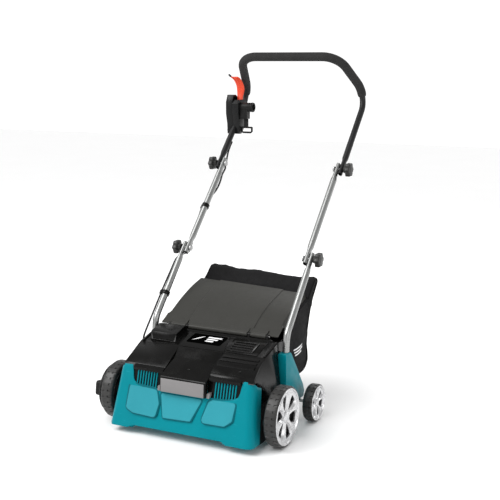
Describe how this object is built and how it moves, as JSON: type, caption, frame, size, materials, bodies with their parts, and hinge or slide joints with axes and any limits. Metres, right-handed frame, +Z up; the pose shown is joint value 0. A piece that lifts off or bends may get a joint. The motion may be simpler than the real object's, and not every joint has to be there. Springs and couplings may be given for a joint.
{
  "type": "electric lawn scarifier",
  "caption": "Walk-behind electric scarifier: teal housing with black cover, silver spoked wheels, rear fabric bag, folding tube handle.",
  "frame": {"origin": "on the ground, under the middle of the whole machine", "axes": "+Z up, -Y towards the front, +X towards the right side seen from the front"},
  "size_m": [0.59, 0.8416, 1.036],
  "materials": {
    "teal_plastic": "moulded teal plastic, low sheen",
    "black_plastic": "black moulded plastic, glossy",
    "grey_plastic": "dark grey moulded plastic, satin",
    "insert_plastic": "light grey moulded plastic, satin",
    "rim_plastic": "silver moulded plastic, metallic pigment",
    "tyre_rubber": "black rubber, moulded tread",
    "belt_rubber": "black rubber, fabric backed",
    "foam": "black closed-cell foam sleeve",
    "cable_sheath": "black cable sheath, satin",
    "zinc_steel": "zinc-plated steel tube, bright",
    "black_tube": "black powder-coated steel tube",
    "machined_steel": "plain steel, machined or stamped",
    "bag_cloth": "black woven polyester",
    "orange_plastic": "orange moulded plastic, satin"
  },
  "bodies": {
    "chassis": {"lower_housing": "teal_plastic", "top_cover": "black_plastic", "front_grip": "black_plastic", "grip_insert": "insert_plastic", "vent_grille": "black_plastic", "handle_bracket_right": "teal_plastic", "handle_bracket_left": "teal_plastic", "motor_body": "machined_steel", "drive_belt": "belt_rubber", "bearing_left": "machined_steel", "bearing_right": "machined_steel", "rear_axle": "machined_steel", "flap_hinge_pin": "machined_steel", "lower_tube_right": "zinc_steel", "lower_tube_left": "zinc_steel", "lower_bolt_right": "machined_steel", "lower_bolt_left": "machined_steel", "cable_lower": "cable_sheath", "cable_clip_lower": "black_plastic"},
    "motor_rotor": {"motor_pulley": "machined_steel"},
    "cutter_rotor": {"cutter_shaft": "machined_steel", "shaft_pulley": "machined_steel", "blade_set_1": "machined_steel", "blade_set_2": "machined_steel", "blade_set_3": "machined_steel", "blade_set_4": "machined_steel", "blade_set_5": "machined_steel", "blade_set_6": "machined_steel"},
    "wheel_crank": {"front_axle": "machined_steel"},
    "front_wheel_right": {"front_tyre_right": "tyre_rubber", "front_rim_right": "rim_plastic"},
    "front_wheel_left": {"front_tyre_left": "tyre_rubber", "front_rim_left": "rim_plastic"},
    "rear_wheel_right": {"rear_tyre_right": "tyre_rubber", "rear_rim_right": "rim_plastic"},
    "rear_wheel_left": {"rear_tyre_left": "tyre_rubber", "rear_rim_left": "rim_plastic"},
    "depth_selector": {"depth_knob": "grey_plastic"},
    "discharge_flap": {"rear_flap": "grey_plastic"},
    "collecting_bag": {"bag_frame": "black_plastic", "bag_fabric": "bag_cloth"},
    "middle_handle": {"middle_tube_right": "zinc_steel", "middle_tube_left": "zinc_steel", "upper_bolt_right": "machined_steel", "upper_bolt_left": "machined_steel", "cable_middle": "cable_sheath", "cable_clip_upper": "black_plastic"},
    "top_handle": {"upper_handle": "black_tube", "foam_grip": "foam", "switch_box": "black_plastic", "switch_box_cover": "black_plastic", "power_inlet": "grey_plastic", "cable_hook": "black_plastic", "cable_upper": "cable_sheath"},
    "bail_lever": {"switch_lever": "orange_plastic"},
    "safety_button": {"lock_button": "grey_plastic"},
    "lower_clamp_right": {"lower_knob_right": "grey_plastic"},
    "lower_clamp_left": {"lower_knob_left": "grey_plastic"},
    "upper_clamp_right": {"upper_knob_right": "grey_plastic"},
    "upper_clamp_left": {"upper_knob_left": "grey_plastic"}
  },
  "joints": [
    {"name": "cutter_spin", "type": "hinge", "parent": "chassis", "child": "cutter_rotor", "pos_m": [0.021, -0.214, 0.078], "axis": [1, 0, 0], "continuous": true},
    {"name": "motor_spin", "type": "hinge", "parent": "chassis", "child": "motor_rotor", "pos_m": [-0.157, -0.336, 0.148], "axis": [1, 0, 0], "continuous": true},
    {"name": "depth_crank", "type": "hinge", "parent": "chassis", "child": "wheel_crank", "pos_m": [0.021, -0.3, 0.0825], "axis": [1, 0, 0], "range_deg": [-45, 45]},
    {"name": "front_wheel_right_spin", "type": "hinge", "parent": "wheel_crank", "child": "front_wheel_right", "pos_m": [0.274, -0.31, 0.0825], "axis": [1, 0, 0], "continuous": true},
    {"name": "front_wheel_left_spin", "type": "hinge", "parent": "wheel_crank", "child": "front_wheel_left", "pos_m": [-0.232, -0.31, 0.0825], "axis": [1, 0, 0], "continuous": true},
    {"name": "rear_wheel_right_spin", "type": "hinge", "parent": "chassis", "child": "rear_wheel_right", "pos_m": [0.2805, -0.101, 0.0537], "axis": [1, 0, 0], "continuous": true},
    {"name": "rear_wheel_left_spin", "type": "hinge", "parent": "chassis", "child": "rear_wheel_left", "pos_m": [-0.2385, -0.101, 0.0537], "axis": [1, 0, 0], "continuous": true},
    {"name": "depth_knob_push", "type": "slide", "parent": "wheel_crank", "child": "depth_selector", "axis": [1, 0, 0], "range_m": [0, 0.004], "stiffness_N_per_m": 1500, "springref_m": -0.002},
    {"name": "flap_lift", "type": "hinge", "parent": "chassis", "child": "discharge_flap", "pos_m": [0.021, -0.192, 0.258], "axis": [1, 0, 0], "range_deg": [0, 40]},
    {"name": "bag_unhook", "type": "slide", "parent": "chassis", "child": "collecting_bag", "axis": [0, 1, 0], "range_m": [0, 0.15]},
    {"name": "lower_fold", "type": "hinge", "parent": "chassis", "child": "middle_handle", "pos_m": [0.021, -0.0136, 0.4495], "axis": [1, 0, 0], "range_deg": [0, 120], "deforming": ["cable_lower", "cable_middle"]},
    {"name": "upper_fold", "type": "hinge", "parent": "middle_handle", "child": "top_handle", "pos_m": [0.021, 0.222, 0.685], "axis": [1, 0, 0], "range_deg": [-130, 0], "deforming": ["cable_middle", "cable_upper"]},
    {"name": "lever_pull", "type": "hinge", "parent": "top_handle", "child": "bail_lever", "pos_m": [-0.179, 0.348, 0.869], "axis": [1, 0, 0], "range_deg": [-6, 0], "stiffness_Nm_per_rad": 1.5, "springref_deg": 2.86},
    {"name": "button_push", "type": "slide", "parent": "top_handle", "child": "safety_button", "axis": [1, 0, 0], "range_m": [0, 0.004], "stiffness_N_per_m": 600, "springref_m": -0.002},
    {"name": "lower_clamp_right_turn", "type": "hinge", "parent": "chassis", "child": "lower_clamp_right", "pos_m": [0.251, -0.0136, 0.4495], "axis": [1, 0, 0], "continuous": true},
    {"name": "lower_clamp_left_turn", "type": "hinge", "parent": "chassis", "child": "lower_clamp_left", "pos_m": [-0.209, -0.0136, 0.4495], "axis": [1, 0, 0], "continuous": true},
    {"name": "upper_clamp_right_turn", "type": "hinge", "parent": "middle_handle", "child": "upper_clamp_right", "pos_m": [0.251, 0.222, 0.685], "axis": [1, 0, 0], "continuous": true},
    {"name": "upper_clamp_left_turn", "type": "hinge", "parent": "middle_handle", "child": "upper_clamp_left", "pos_m": [-0.209, 0.222, 0.685], "axis": [1, 0, 0], "continuous": true}
  ],
  "couplings": [
    {"joint": "motor_spin", "follows": "cutter_spin", "ratio": 2.3333}
  ]
}
